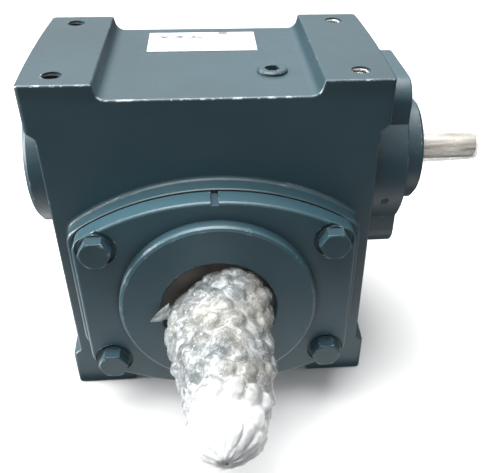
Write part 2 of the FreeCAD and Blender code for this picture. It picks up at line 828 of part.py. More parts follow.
def tapered_bearing(side, along):
    start = "output_bearing_start"
    sign = "-" if along == "-y" else ""
    at = (0, f"{sign}{start}", "output_height")
    name = f"output_bearing_{side}"
    keep(turned(f"{name}_outer", [
        ("cup_radius", "cup_start"),
        (race("cup_start", 1), "cup_start"),
        (race("output_bearing_width", 1), "output_bearing_width"),
        ("cup_radius", "output_bearing_width"),
    ], at, along))
    keep(turned(f"{name}_inner", [
        ("output_seat", "0"),
        ("large_rib_radius", "0"),
        ("large_rib_radius", "large_rib"),
        (race("large_rib", -1), "large_rib"),
        (race("small_rib", -1), "small_rib"),
        ("small_rib_radius", "small_rib"),
        ("small_rib_radius", "output_bearing_width"),
        ("output_seat", "output_bearing_width"),
    ], at, along))
    rollers = group(f"{name}_roller_group", roller_set(f"{name}_roller"))
    keep(place(rollers, at, along), f"{name}_rollers")

    def wall(station, sign_text):
        return f"roller_pitch - roller_slope * ({station} - roller_mid) {sign_text} cage_half_wall"

    cage = turned(f"{name}_cage_blank", [
        (wall("cage_start", "-"), "cage_start"),
        (wall("cage_start", "+"), "cage_start"),
        (wall("cage_end", "+"), "cage_end"),
        (wall("cage_end", "-"), "cage_end"),
    ])
    pockets = group(f"{name}_pockets", roller_set(f"{name}_pocket", "pocket_gap"))
    keep(place(cut(f"{name}_cage_shape", cage, [pockets]), at, along), f"{name}_cage")


def ball_bearing(name, along):
    sign = "-" if along == "-x" else ""
    at = (f"{sign}(ball_bearing_start + ball_bearing_width / 2)", 0, "input_height")
    half = "ball_bearing_width / 2"
    for ring, radius_a, radius_b in (("outer", "ball_outer_land", "ball_outer_radius"),
                                     ("inner", "worm_seat", "ball_inner_land")):
        blank = turned(f"{name}_{ring}_blank", [
            (radius_a, f"-{half}"),
            (radius_b, f"-{half}"),
            (radius_b, half),
            (radius_a, half),
        ])
        groove = torus(f"{name}_{ring}_groove", "ball_pitch", "ball_radius + running_gap", 0)
        keep(place(cut(f"{name}_{ring}_shape", blank, [groove]), at, along), f"{name}_{ring}")
    balls = []
    pockets = []
    count = int(size("ball_count"))
    for step in range(count):
        ball = bind(make("Part::Sphere", f"{name}_ball_{step}"), Radius="ball_radius")
        balls.append(turned_about(ball, count, step, size("ball_pitch"), 0, 0))
        pocket = bind(make("Part::Cylinder", f"{name}_pocket_{step}"), Radius="ball_radius + pocket_gap",
                      Height="ball_outer_land")
        pockets.append(turned_about(pocket, count, step, 0, 0, 90))
    keep(place(group(f"{name}_ball_group", balls), at, along), f"{name}_balls")
    cage = turned(f"{name}_cage_blank", [
        ("ball_cage_inner", "-ball_cage_half"),
        ("ball_cage_outer", "-ball_cage_half"),
        ("ball_cage_outer", "ball_cage_half"),
        ("ball_cage_inner", "ball_cage_half"),
    ])
    pocket_group = group(f"{name}_pockets", pockets)
    keep(place(cut(f"{name}_cage_shape", cage, [pocket_group]), at, along), f"{name}_cage")


# ---- output shaft and wheel ------------------------------------------------------------

def output_shaft():
    """Turned shaft with a keyway under the wheel and one at the output end."""
    far = "output_bearing_start + output_bearing_width"
    blank = turned("output_shaft_blank", [
        ("0", f"-({far} + shaft_overhang)"),
        ("output_seat - shaft_step", f"-({far} + shaft_overhang)"),
        ("output_seat", f"-({far})"),
        ("output_seat", "-output_bearing_start"),
        ("wheel_seat", "-output_bearing_start"),
        ("wheel_seat", "wheel_hub_half"),
        ("collar_radius", "wheel_hub_half"),
        ("collar_radius", "output_bearing_start"),
        ("output_seat", "output_bearing_start"),
        ("output_seat", f"{far} + shaft_step"),
        ("output_seal_seat", f"{far} + 2 * shaft_step"),
        ("output_seal_seat", "output_seal_face"),
        ("output_radius", "output_seal_face + shaft_overhang"),
        ("output_radius", "output_end - shaft_chamfer"),
        ("output_radius - shaft_chamfer", "output_end"),
        ("0", "output_end"),
    ])
    wheel_way = box("wheel_keyway", ("-key_half_width", "wheel_seat - key_depth", "-key_half_length"),
                    ("2 * key_half_width", "2 * key_depth", "2 * key_half_length"))
    end_way = box("output_keyway", ("-output_keyway_half", "output_radius - output_keyway_depth",
                                    "output_end - output_keyway_length"),
                  ("2 * output_keyway_half", "2 * output_keyway_depth", "output_keyway_length + overrun"))
    shaft = cut("output_shaft_shape", blank, [wheel_way, end_way])
    keep(place(shaft, OUTPUT_AXIS, "-y"), "output_shaft")
    key = box("wheel_key_shape", ("-key_half_width", "wheel_seat - key_depth", "-key_half_length"),
              ("2 * key_half_width", "key_height", "2 * key_half_length"))
    keep(place(group("wheel_key_group", [key]), OUTPUT_AXIS, "-y"), "wheel_key")
    keep(turned("wheel_spacer", [
        ("wheel_seat", "wheel_hub_half"),
        ("collar_radius", "wheel_hub_half"),
        ("collar_radius", "output_bearing_start"),
        ("wheel_seat", "output_bearing_start"),
    ], OUTPUT_AXIS, "+y"))


def wheel_profile(radius_root, radius_tip, root_half, tip_half, turn, height):
    """A closed outline of straight-sided teeth, turned by an angle in radians."""
    teeth = int(size("wheel_teeth"))
    pitch = 2 * math.pi / teeth
    points = []
    for tooth in range(teeth):
        middle = turn + tooth * pitch
        for radius, offset in ((radius_root, -root_half), (radius_tip, -tip_half),
                               (radius_tip, tip_half), (radius_root, root_half)):
            angle = middle + offset / radius
            points.append(Vector(radius * math.cos(angle), radius * math.sin(angle), height))
    points.append(points[0])
    return Part.makePolygon(points)


def pin_shapes():
    """Pins along the joint between the wheel's rim and its centre."""
    count = int(size("pin_count"))
    length = size("pin_length")
    ring = size("rim_inner")
    pins = []
    for step in range(count):
        angle = 2 * math.pi * (step + 0.5) / count
        foot = Vector(ring * math.cos(angle), ring * math.sin(angle), size("rim_half") - length)
        pins.append(Part.makeCylinder(size("pin_radius"), length, foot))
    return Part.makeCompound(pins)


def toothed_rim():
    """The bronze rim: a loft between its two toothed ends, each turned by the teeth's slant."""
    module = size("gear_module")
    pitch_radius = module * size("wheel_teeth") / 2
    flank = math.tan(math.radians(size("pressure_angle")))
    tooth_half = math.pi * module / 4 - size("tooth_thinning")
    tip = pitch_radius + module
    root = pitch_radius - size("dedendum") * module
    tip_half = tooth_half - module * flank
    root_half = tooth_half + size("dedendum") * module * flank
    half = size("rim_half")
    lead_slope = module / (2 * size("worm_pitch_radius"))
    twist = half * lead_slope / pitch_radius
    # One tooth stands straight up at the middle, under the gap in the worm's thread.
    upright = math.pi / 2
    ends = [wheel_profile(root, tip, root_half, tip_half, upright + sign * twist, sign * half)
            for sign in (-1, 1)]
    bore = Part.makeCylinder(size("rim_inner"), 4 * half, Vector(0, 0, -2 * half))
    return Part.makeLoft(ends, True, True).cut(bore)


def shaped(name, shape):
    """A piece whose shape no primitive or sketch gives."""
    thing = make("Part::Feature", name)
    thing.Shape = shape
    return thing


def wheel():
    """Bronze rim with helical teeth, on a cast centre, pinned through the joint."""
    pins = pin_shapes()
    keep(place(shaped("wheel_rim", toothed_rim().cut(pins)), OUTPUT_AXIS, "-y"))
    keep(place(shaped("wheel_rim_pins", pins), OUTPUT_AXIS, "-y"))
    centre_blank = turned("wheel_centre_blank", [
        ("wheel_seat", "-wheel_hub_half"),
        ("wheel_hub_radius", "-wheel_hub_half"),
        ("wheel_hub_radius", "-rim_half"),
        ("rim_inner", "-rim_half"),
        ("rim_inner", "rim_half"),
        ("wheel_hub_radius", "rim_half"),
        ("wheel_hub_radius", "wheel_hub_half"),
        ("wheel_seat", "wheel_hub_half"),
    ])
    key_room = box("wheel_centre_keyway", ("-key_half_width", 0, "-wheel_hub_half - overrun"),
                   ("2 * key_half_width", "wheel_seat - key_depth + key_height",
                    "2 * wheel_hub_half + 2 * overrun"))
    pin_room = shaped("wheel_centre_pin_holes", pins)
    centre = cut("wheel_centre_shape", centre_blank, [key_room, pin_room])
    keep(place(centre, OUTPUT_AXIS, "-y"), "wheel_centre")


# ---- worm shaft ------------------------------------------------------------------------

def worm_thread():
    """A single right-hand thread, cut off square at both ends, with a gap facing the wheel."""
    module = size("gear_module")
    pitch = math.pi * module
    flank = math.tan(math.radians(size("pressure_angle")))
    middle = size("worm_pitch_radius")
    half_length = size("worm_half_length")
    thread_half = math.pi * module / 4 - size("tooth_thinning")
    spare_turns = 2
    turns = math.ceil(2 * half_length / pitch) + spare_turns
    low = -size("thread_root") * module
    low_half = thread_half - low * flank
    high_half = thread_half - module * flank
    corners = [Vector(middle + low, 0, -low_half), Vector(middle + low, 0, low_half),
               Vector(middle + module, 0, high_half), Vector(middle + module, 0, -high_half)]
    section = Part.makePolygon(corners + [corners[0]])
    helix = Part.makeHelix(pitch, pitch * turns, middle)
    sweep = Part.Wire(helix.Edges).makePipeShell([section], True, True)
    sweep.translate(Vector(0, 0, -pitch * turns / 2))
    keeper = Part.makeCylinder(middle + 2 * module, 2 * half_length, Vector(0, 0, -half_length))
    return sweep.common(keeper)


def worm_shaft():
    far = "ball_bearing_start + ball_bearing_width"
    root = "worm_pitch_radius - dedendum * gear_module"
    blank = turned("worm_shaft_blank", [
        ("0", f"-({far} + shaft_overhang)"),
        ("worm_seat - shaft_overhang", f"-({far} + shaft_overhang)"),
        ("worm_seat", f"-({far})"),
        ("worm_seat", "-ball_bearing_start"),
        ("worm_collar", "-ball_bearing_start"),
        ("worm_collar", "-worm_half_length - worm_collar_start"),
        ("worm_relief", "-worm_half_length - worm_relief_end"),
        ("worm_relief", "-worm_half_length - worm_relief_start"),
        (root, "-worm_half_length"),
        (root, "worm_half_length"),
        ("worm_relief", "worm_half_length + worm_relief_start"),
        ("worm_relief", "worm_half_length + worm_relief_end"),
        ("worm_collar", "worm_half_length + worm_collar_start"),
        ("worm_collar", "ball_bearing_start"),
        ("worm_seat", "ball_bearing_start"),
        ("worm_seat", far),
        ("ring_groove", far),
        ("ring_groove", f"{far} + ring_thickness"),
        ("worm_seat", f"{far} + ring_thickness"),
        ("worm_seat", f"{far} + 2 * ring_thickness"),
        ("input_seal_seat", f"{far} + 2 * ring_thickness + shaft_step"),
        ("input_seal_seat", "input_seal_face"),
        ("input_radius", "input_seal_face + shaft_overhang"),
        ("input_radius", "input_end - shaft_overhang"),
        ("input_radius - shaft_overhang", "input_end"),
        ("0", "input_end"),
    ])
    threaded = fused("worm_shaft_threaded", [blank, shaped("worm_thread", worm_thread())])
    keyway = box("input_keyway", ("input_radius - input_keyway_depth", "-input_keyway_half",
                                  "input_end - input_keyway_length"),
                 ("2 * input_keyway_depth", "2 * input_keyway_half", "input_keyway_length + overrun"))
    shaft = cut("worm_shaft_shape", threaded, [keyway])
    keep(place(shaft, INPUT_AXIS, "+x"), "worm_shaft")
    for name, inner, outer in (("worm_shaft_snap_ring", "ring_groove", "ring_radius"),
                               ("bearing_circlip", "circlip_inner", "circlip_groove")):
        ring = turned(f"{name}_ring", [
            (inner, far),
            (outer, far),
            (outer, f"{far} + ring_thickness"),
            (inner, f"{far} + ring_thickness"),
        ])
        gap = box(f"{name}_gap", (0, "-ring_gap / 2", far),
                  ("circlip_groove + overrun", "ring_gap", "ring_thickness"))
        keep(place(cut(f"{name}_shape", ring, [gap]), INPUT_AXIS, "+x"), name)


# ---- packing ---------------------------------------------------------------------------

def wraps():
    """Loose open-ended sleeves of packing that pull off the two shaft ends."""
    length = "(output_wrap_end - output_wrap_start)"
    keep(turned("output_wrap", [
        ("output_wrap_bore", "output_wrap_start"),
        ("output_wrap_bore + wrap_wall_start", "output_wrap_start"),
        ("output_wrap_bore + wrap_wall_bulge", f"output_wrap_start + {length} / 6"),
        ("output_wrap_bore + wrap_wall_middle", f"output_wrap_start + {length} / 2"),
        ("output_wrap_bore + wrap_wall_far", f"output_wrap_start + 3 * {length} / 4"),
        ("output_wrap_bore + wrap_wall_end", "output_wrap_end"),
        ("output_wrap_bore", "output_wrap_end"),
    ], OUTPUT_AXIS, "-y"))
    keep(turned("input_wrap", [
        ("input_wrap_bore", "input_wrap_start"),
        ("input_wrap_radius", "input_wrap_start"),
        ("input_wrap_radius", "input_wrap_end"),
        ("input_wrap_bore", "input_wrap_end"),
    ], INPUT_AXIS, "+x"))


housing()
output_cover("front", "-y")
output_cover("rear", "+y")
pipe_plug("fill_plug", "case_height - recess_depth", "-", "+z")
pipe_plug("drain_plug", "recess_depth", "+", "-z")
nameplate()
vent_screw()
worm_end_cap()
oil_seal("output_seal", "output_seal_radius", "output_seal_seat", "output_seal_face",
         "output_seal_width", OUTPUT_AXIS, "-y")
oil_seal("input_seal", "ball_outer_radius", "input_seal_seat", "input_seal_face",
         "input_seal_width", INPUT_AXIS, "+x")
tapered_bearing("front", "-y")
tapered_bearing("rear", "+y")
ball_bearing("input_bearing", "+x")
ball_bearing("worm_end_bearing", "-x")
output_shaft()
wheel()
worm_shaft()
wraps()
doc.recompute()

for thing in doc.Objects:
    if "Invalid" in thing.State or "Error" in thing.State:
        raise RuntimeError(f"{thing.Label} failed: {thing.State}")
for node in nodes:
    if node.Shape.isNull() or not node.Shape.isValid():
        raise RuntimeError(f"{node.Label} has no valid shape")

os.makedirs("parts", exist_ok=True)
for node in nodes:
    node.Shape.exportStep(f"parts/{node.Label}.step")
    print(node.Label, len(node.Shape.Solids), round(node.Shape.Volume, 1))
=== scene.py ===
"""Right angle worm gearbox: paint and metal, packing on both shafts, threads, light and camera."""

import json
import math
import random

import bmesh
import bpy
from mathutils import Matrix, Vector, noise


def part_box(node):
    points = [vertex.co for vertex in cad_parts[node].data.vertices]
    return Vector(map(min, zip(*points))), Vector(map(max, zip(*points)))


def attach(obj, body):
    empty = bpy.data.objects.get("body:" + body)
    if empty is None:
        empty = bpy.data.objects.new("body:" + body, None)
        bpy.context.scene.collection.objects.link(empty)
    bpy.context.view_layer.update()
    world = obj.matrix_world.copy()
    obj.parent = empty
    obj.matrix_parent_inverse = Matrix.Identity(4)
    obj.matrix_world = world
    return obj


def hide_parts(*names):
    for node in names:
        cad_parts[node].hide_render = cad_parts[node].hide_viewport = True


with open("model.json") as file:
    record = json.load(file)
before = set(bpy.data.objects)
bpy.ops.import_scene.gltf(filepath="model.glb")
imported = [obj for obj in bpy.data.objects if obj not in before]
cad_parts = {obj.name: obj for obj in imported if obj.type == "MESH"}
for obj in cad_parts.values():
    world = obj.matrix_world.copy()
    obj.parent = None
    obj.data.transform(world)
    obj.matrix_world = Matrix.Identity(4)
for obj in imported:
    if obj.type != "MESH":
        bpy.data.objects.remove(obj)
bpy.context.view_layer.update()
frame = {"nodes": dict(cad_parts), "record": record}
NODES = frame["nodes"]
MM = 0.001


# ---- places taken from the frame --------------------------------------------------------

def mount(name):
    """The record's mount with this name."""
    return next(m for m in frame["record"]["mounts"] if m["name"] == name)


OUTPUT_HEIGHT = mount("output_shaft")["pos_m"][2]
INPUT_HEIGHT = mount("input_shaft")["pos_m"][2]
SHAFT_END = -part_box("output_shaft")[0][1]
TOP_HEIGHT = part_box("housing")[1][2]
FRONT_FACE = min(v.co.y for v in NODES["housing"].data.vertices if v.co.z > TOP_HEIGHT - 1.5 * MM)


# ---- small sums -------------------------------------------------------------------------

def clamped(value):
    """The value held between 0 and 1."""
    return min(max(value, 0.0), 1.0)


def facing(angle, degrees):
    """1 where the angle points that way, falling to 0 a quarter turn off."""
    return max(math.cos(angle - math.radians(degrees)), 0.0)


def blend_stations(stations, where):
    """Smooth value between (place, value) stations in order of place."""
    for (start, low), (end, high) in zip(stations, stations[1:]):
        if where <= end:
            part = clamped((where - start) / (end - start))
            return low + (high - low) * part * part * (3 - 2 * part)
    return stations[-1][1]


# ---- node graphs ------------------------------------------------------------------------

def rgb(red, green, blue):
    return (red, green, blue, 1.0)


class Graph:
    """A short way to write a material's node tree."""

    def __init__(self, name):
        self.material = bpy.data.materials.new(name)
        self.material.use_nodes = True
        self.tree = self.material.node_tree
        self.tree.nodes.clear()
        self.output = self.tree.nodes.new("ShaderNodeOutputMaterial")

    def add(self, kind, sockets=None, **settings):
        node = self.tree.nodes.new("ShaderNode" + kind)
        for key, value in settings.items():
            setattr(node, key, value)
        for key, value in (sockets or {}).items():
            self.feed(node.inputs[key], value)
        return node

    def feed(self, socket, value):
        """Link a socket to another one, or set it to a plain value."""
        if isinstance(value, bpy.types.NodeSocket):
            self.tree.links.new(value, socket)
        else:
            socket.default_value = value

    def position(self):
        """The point in the object's own space, in metres."""
        return self.add("TexCoord").outputs["Object"]

    def noise(self, scale, detail=2.0, roughness=0.5, where=None, distortion=0.0):
        node = self.add("TexNoise", {"Vector": where or self.position(), "Scale": scale, "Detail": detail,
                                     "Roughness": roughness, "Distortion": distortion})
        return node.outputs["Fac"]

    def remap(self, value, low, high, to_low=0.0, to_high=1.0):
        node = self.add("MapRange", {"Value": value, "From Min": low, "From Max": high,
                                     "To Min": to_low, "To Max": to_high})
        return node.outputs["Result"]

    def math(self, operation, first, second=0.0):
        return self.add("Math", {0: first, 1: second}, operation=operation).outputs[0]

    def mix(self, factor, first, second):
        node = self.add("Mix", data_type="RGBA")
        self.feed(node.inputs["Factor"], factor)
        self.feed(node.inputs["A"], first)
        self.feed(node.inputs["B"], second)
        return node.outputs["Result"]

    def bump(self, height, strength, distance, normal=None):
        node = self.add("Bump", {"Height": height, "Strength": strength, "Distance": distance})
        if normal is not None:
            self.feed(node.inputs["Normal"], normal)
        return node.outputs["Normal"]

    def bevel(self, radius):
        return self.add("Bevel", {"Radius": radius}, samples=4).outputs["Normal"]

    def edge_mask(self, rounded_normal):
        """1 along sharp edges, 0 on flats: how far a rounded normal leans off the true one."""
        full_lean = 1.0 / 6.0
        true_normal = self.add("NewGeometry").outputs["Normal"]
        lean = self.add("VectorMath", {0: rounded_normal, 1: true_normal}, operation="DOT_PRODUCT")
        return self.remap(lean.outputs["Value"], 1.0 - full_lean, 1.0, 1.0, 0.0)

    def corners(self, reach):
        """1 deep in an inside corner, 0 in the open."""
        node = self.add("AmbientOcclusion", {"Distance": reach}, samples=4)
        return self.remap(node.outputs["AO"], 0.55, 0.92, 1.0, 0.0)

    def principled(self, **sockets):
        """A principled shader; an underscore stands for a space in a socket's name."""
        node = self.add("BsdfPrincipled", {name.replace("_", " "): value for name, value in sockets.items()})
        return node.outputs["BSDF"]

    def done(self, shader):
        self.feed(self.output.inputs["Surface"], shader)
        return self.material


# ---- paint and solid materials ------------------------------------------------------------

PAINT_DARK = rgb(0.0180, 0.046, 0.058)
PAINT_LIGHT = rgb(0.0215, 0.055, 0.070)
PAINT_DUST = rgb(0.05, 0.08, 0.09)
# Painted shade for inside corners.
PAINTED_CORNER_SHADE = rgb(0.004, 0.012, 0.017)
BARE_IRON = rgb(0.50, 0.55, 0.56)
TOP_SHADE = 0.76
TOP_SHADE_START = TOP_HEIGHT - 9 * MM
TOP_SHADE_FULL = TOP_HEIGHT - 4.5 * MM
CORNER_REACH = 4.0 * MM
CHIP_REACH = 0.9 * MM


def front_rim(g, where):
    """1 on the rim between the top of the case and its front face, 0 elsewhere."""
    facing_up = g.add("SeparateXYZ", {"Vector": g.add("NewGeometry").outputs["Normal"]}).outputs["Z"]
    in_front = g.remap(where["Y"], FRONT_FACE + 0.5 * MM, FRONT_FACE + 1.0 * MM, 1.0, 0.0)
    turned_up = g.remap(facing_up, 0.15, 0.45)
    near_top = g.remap(where["Z"], TOP_SHADE_START, TOP_SHADE_START + 1.0 * MM)
    return g.math("MULTIPLY", in_front, g.math("MULTIPLY", turned_up, near_top))


def paint(name, tint=1.0, texture=1.0, rounding=0.0):
    """Dark blue-green enamel sprayed over a sand casting, chipped on its edges.

    The top of the case is a little darker, and its front rim has lost some paint. Inside
    corners are darker and duller. Rounding softens the edges of small machined pieces."""
    g = Graph(name)
    where = g.add("SeparateXYZ", {"Vector": g.position()}).outputs
    shade = g.remap(where["Z"], TOP_SHADE_START, TOP_SHADE_FULL, tint, TOP_SHADE * tint)
    patch = g.remap(g.noise(16, 3, 0.55), 0.35, 0.65)
    colour = g.mix(patch, PAINT_DARK, PAINT_LIGHT)
    colour = g.add("VectorMath", {"Vector": colour, "Scale": shade}, operation="SCALE").outputs["Vector"]
    dust = g.remap(g.noise(700, 3, 0.6), 0.58, 0.8, 0.0, 0.22)
    colour = g.mix(dust, colour, PAINT_DUST)
    # Painted shade: ambient occlusion darkens inside corners, the roots of bosses and the rings round bolt
    # heads, and dulls the paint there.
    corner = g.corners(CORNER_REACH)
    colour = g.mix(g.math("MULTIPLY", corner, 0.55), colour, PAINTED_CORNER_SHADE)
    edges = g.math("MULTIPLY", g.edge_mask(g.bevel(CHIP_REACH)), g.math("SUBTRACT", 1.0, corner))
    chips = g.math("MULTIPLY", edges, g.remap(g.noise(260, 3, 0.7), 0.575, 0.62))
    dashes = g.remap(g.noise(230, 4, 0.65), 0.52, 0.60, 0.0, 0.6)
    chips = g.math("MAXIMUM", chips, g.math("MULTIPLY", front_rim(g, where), dashes))
    colour = g.mix(chips, colour, BARE_IRON)
    rough = g.remap(g.noise(140, 3, 0.55), 0.3, 0.7, 0.36, 0.46)
    rough = g.math("MAXIMUM", rough, corner)
    swell = g.noise(38, 2, 0.5)
    sand = g.noise(520, 4, 0.6)
    normal = g.bump(swell, 0.18 * texture, 1.0 * MM, g.bevel(rounding) if rounding else None)
    normal = g.bump(sand, 0.22 * texture, 0.3 * MM, normal)
    return g.done(g.principled(Base_Color=colour, Roughness=rough, Normal=normal, Specular_IOR_Level=0.65))


def steel(name, colour, rough, axis=None):
    """Machined steel with faint stains and fine marks, which run round the axis if one is given."""
    fine, coarse, even = 1600, 40, 400
    scales = {"x": (fine, coarse, coarse), "y": (coarse, fine, coarse), None: (even, even, even)}
    g = Graph(name)
    stains = g.remap(g.noise(70, 4, 0.6), 0.4, 0.7)
    tone = g.mix(stains, rgb(*colour), rgb(*[0.72 * part for part in colour]))
    stretched = g.add("Mapping", {"Vector": g.position(), "Scale": scales[axis]}).outputs["Vector"]
    marks = g.noise(1.0, 3, 0.6, stretched)
    roughness = g.remap(marks, 0.2, 0.8, rough - 0.06, rough + 0.08)
    normal = g.bump(marks, 0.15, 0.05 * MM)
    return g.done(g.principled(Base_Color=tone, Metallic=1.0, Roughness=roughness, Normal=normal))


def plain_solid(name, low, high, rough, scale=200, metallic=0.0):
    """A solid with a two-tone mottle and a light grain, for cast iron, bronze and rubber."""
    g = Graph(name)
    patch = g.remap(g.noise(scale, 4, 0.6), 0.35, 0.65)
    colour = g.mix(patch, rgb(*low), rgb(*high))
    roughness = g.remap(g.noise(2 * scale, 2), 0.3, 0.7, rough - 0.08, rough + 0.08)
    normal = g.bump(g.noise(4 * scale, 3), 0.2, 0.15 * MM)
    return g.done(g.principled(Base_Color=colour, Metallic=metallic, Roughness=roughness, Normal=normal))


def sticker():
    """White paper sticker with a faint smudged row of print and a tan patch near its far edge."""
    low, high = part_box("nameplate")
    width = high[0] - low[0]
    g = Graph("sticker")
    where = g.add("SeparateXYZ", {"Vector": g.position()}).outputs

    def within(axis, middle, half):
        distance = g.math("ABSOLUTE", g.math("SUBTRACT", where[axis], middle))
        return g.remap(distance, half - 0.4 * MM, half, 1.0, 0.0)

    colour = g.mix(g.noise(260, 3), rgb(0.50, 0.51, 0.53), rgb(0.55, 0.56, 0.57))
    smudge = g.remap(g.noise(260, 3, 0.6), 0.44, 0.56)
    row = g.math("MULTIPLY", within("Y", high[1] - 7.0 * MM, 1.9 * MM),
                 within("X", low[0] + 0.36 * width, 0.27 * width))
    colour = g.mix(g.math("MULTIPLY", row, smudge), colour, rgb(0.07, 0.07, 0.13))
    patch = g.math("MULTIPLY", within("Y", high[1] - 1.5 * MM, 2.6 * MM),
                   within("X", low[0] + 0.70 * width, 0.045 * width))
    colour = g.mix(patch, colour, rgb(0.17, 0.155, 0.14))
    normal = g.bump(g.noise(60, 2), 0.3, 0.4 * MM)
    return g.done(g.principled(Base_Color=colour, Roughness=0.45, Normal=normal))


# ---- film materials -----------------------------------------------------------------------

FILM_IOR = 1.5


def bubble_film():
    """Clear bubble wrap: glossy, milky where it is creased, thinner over each bubble.

    It turns whiter and more opaque past the shaft's end, where there is only film behind it. Painted light:
    this whiteness stands for the glare on the film there."""
    g = Graph("bubble_film")
    dome = g.add("Attribute", attribute_name="dome").outputs["Fac"]
    along = g.add("SeparateXYZ", {"Vector": g.position()}).outputs["Y"]
    # Painted light: past the shaft's end the film turns whiter and more opaque, for the glare on it.
    loose = g.remap(along, -SHAFT_END - 14 * MM, -SHAFT_END + 3 * MM, 1.0, 0.0)
    haze = g.remap(g.noise(130, 5, 0.7, distortion=0.8), 0.40, 0.66)
    warm = g.remap(g.noise(38, 2, 0.5), 0.48, 0.62)
    colour = g.mix(haze, rgb(0.14, 0.16, 0.165), rgb(0.46, 0.485, 0.49))
    colour = g.mix(g.remap(dome, 0.0, 0.45, 0.5, 0.0), colour, rgb(0.46, 0.49, 0.49))
    colour = g.mix(g.math("MULTIPLY", warm, 0.45), colour, rgb(0.50, 0.47, 0.40))
    colour = g.mix(g.math("MULTIPLY", loose, 0.75), colour, rgb(0.88, 0.90, 0.90))
    veil = g.math("MAXIMUM", g.remap(haze, 0.0, 1.0, 0.30, 0.80), g.math("MULTIPLY", loose, 0.9))
    rough = g.remap(g.noise(300, 2), 0.3, 0.7, 0.05, 0.2)
    normal = g.bump(g.noise(330, 5, 0.75, distortion=1.2), 0.8, 1.0 * MM)
    return g.done(g.principled(Base_Color=colour, Roughness=rough, Alpha=veil, Normal=normal,
                               IOR=FILM_IOR, Coat_Weight=0.6, Coat_Roughness=0.04))


def thin_film(name, low, high, clearest, milkiest, along=60):
    """Clear polythene, creased along X; it is milkiest where the creases crowd."""
    g = Graph(name)
    stretched = g.add("Mapping", {"Vector": g.position(), "Scale": (along, 330, 330)}).outputs["Vector"]
    streaks = g.noise(1.0, 4, 0.65, stretched)
    colour = g.mix(g.remap(streaks, 0.35, 0.65), rgb(*low), rgb(*high))
    veil = g.remap(streaks, 0.3, 0.75, clearest, milkiest)
    rough = g.remap(g.noise(260, 2), 0.3, 0.7, 0.07, 0.2)
    normal = g.bump(streaks, 0.6, 0.9 * MM)
    return g.done(g.principled(Base_Color=colour, Roughness=rough, Alpha=veil, Normal=normal,
                               IOR=FILM_IOR, Coat_Weight=0.4, Coat_Roughness=0.06))


# ---- materials on the CAD pieces ----------------------------------------------------------

def dress_cad():
    """Give every CAD node its material."""
    case = paint("case_paint")
    cover = paint("cover_paint", tint=1.25)
    hardware = paint("bolt_paint", tint=1.05, texture=0.5, rounding=0.5 * MM)
    bright = steel("bearing_steel", (0.62, 0.62, 0.62), 0.18)
    shaft_out = steel("shaft_steel_y", (0.55, 0.53, 0.49), 0.28, "y")
    shaft_in = steel("shaft_steel_x", (0.52, 0.5, 0.46), 0.3, "x")
    plain_steel = steel("plain_steel", (0.4, 0.4, 0.4), 0.38)
    cage = steel("cage_steel", (0.5, 0.42, 0.3), 0.35)
    iron = plain_solid("cast_iron", (0.09, 0.09, 0.09), (0.14, 0.135, 0.13), 0.6)
    bronze = plain_solid("bronze", (0.5, 0.3, 0.11), (0.62, 0.4, 0.17), 0.32, metallic=1.0)
    rubber = plain_solid("seal_rubber", (0.05, 0.032, 0.02), (0.075, 0.05, 0.032), 0.5, scale=300)
    seal = plain_solid("seal_case", (0.085, 0.074, 0.064), (0.15, 0.132, 0.115), 0.42, scale=150)
    gasket = plain_solid("gasket", (0.006, 0.01, 0.012), (0.012, 0.018, 0.02), 0.7)
    chosen = {
        "housing": case, "output_cover_front": cover, "output_cover_rear": cover,
        "cover_bolts_front": hardware, "cover_bolts_rear": hardware,
        "fill_plug": hardware, "drain_plug": hardware, "worm_end_cap": hardware,
        "vent_screw": hardware, "cover_gasket_front": gasket, "cover_gasket_rear": gasket,
        "nameplate": sticker(), "output_seal_case": seal, "input_seal_case": seal,
        "output_seal_lip": rubber, "input_seal_lip": rubber,
        "output_shaft": shaft_out, "worm_shaft": shaft_in,
        "wheel_rim": bronze, "wheel_centre": iron,
    }
    for name, node in NODES.items():
        material = plain_steel
        if name in chosen:
            material = chosen[name]
        elif "cage" in name:
            material = cage
        elif "bearing" in name and "circlip" not in name:
            material = bright
        node.data.materials.clear()
        node.data.materials.append(material)


# ---- meshes -----------------------------------------------------------------------------

def finished(name, points, faces, material, body):
    """A smooth mesh piece with its material, riding on a CAD body."""
    mesh = bpy.data.meshes.new(name)
    mesh.from_pydata(points, [], faces)
    work = bmesh.new()
    work.from_mesh(mesh)
    bmesh.ops.recalc_face_normals(work, faces=work.faces)
    work.to_mesh(mesh)
    work.free()
    mesh.polygons.foreach_set("use_smooth", [True] * len(mesh.polygons))
    mesh.materials.append(material)
    made = bpy.data.objects.new(name, mesh)
    bpy.context.scene.collection.objects.link(made)
    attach(made, body)
    return made


def grid_faces(rows, columns, wrap=False):
    """Quads between neighbouring rows of points; wrap joins the last column to the first."""
    faces = []
    for row in range(rows - 1):
        for column in range(columns if wrap else columns - 1):
            following = (column + 1) % columns
            faces.append((row * columns + column, row * columns + following,
                          (row + 1) * columns + following, (row + 1) * columns + column))
    return faces


def thicken(made, thickness, offset):
    """Turn a sheet of faces into a film with two sides."""
    modifier = made.modifiers.new("film", "SOLIDIFY")
    modifier.thickness = thickness
    modifier.offset = offset
    depsgraph = bpy.context.evaluated_depsgraph_get()
    baked = bpy.data.meshes.new_from_object(made.evaluated_get(depsgraph))
    made.modifiers.clear()
    made.data = baked


# ---- bubble wrap on the output shaft ------------------------------------------------------
# Angles round the shaft start at the right, seen from the front, and grow towards the top.

TURNS = 2.4
WRAP_BORE = 15.6 * MM
WRAP_MEAN_RADIUS = 19.5 * MM
FILM_GRID = 0.8 * MM
SHEET_END_ANGLE = math.radians(203)

BUBBLE_PITCH = 9.6 * MM
BUBBLE_RADIUS = 4.5 * MM
BUBBLE_RISE = 2.3 * MM
INNER_BUBBLE_SHARE = 0.6

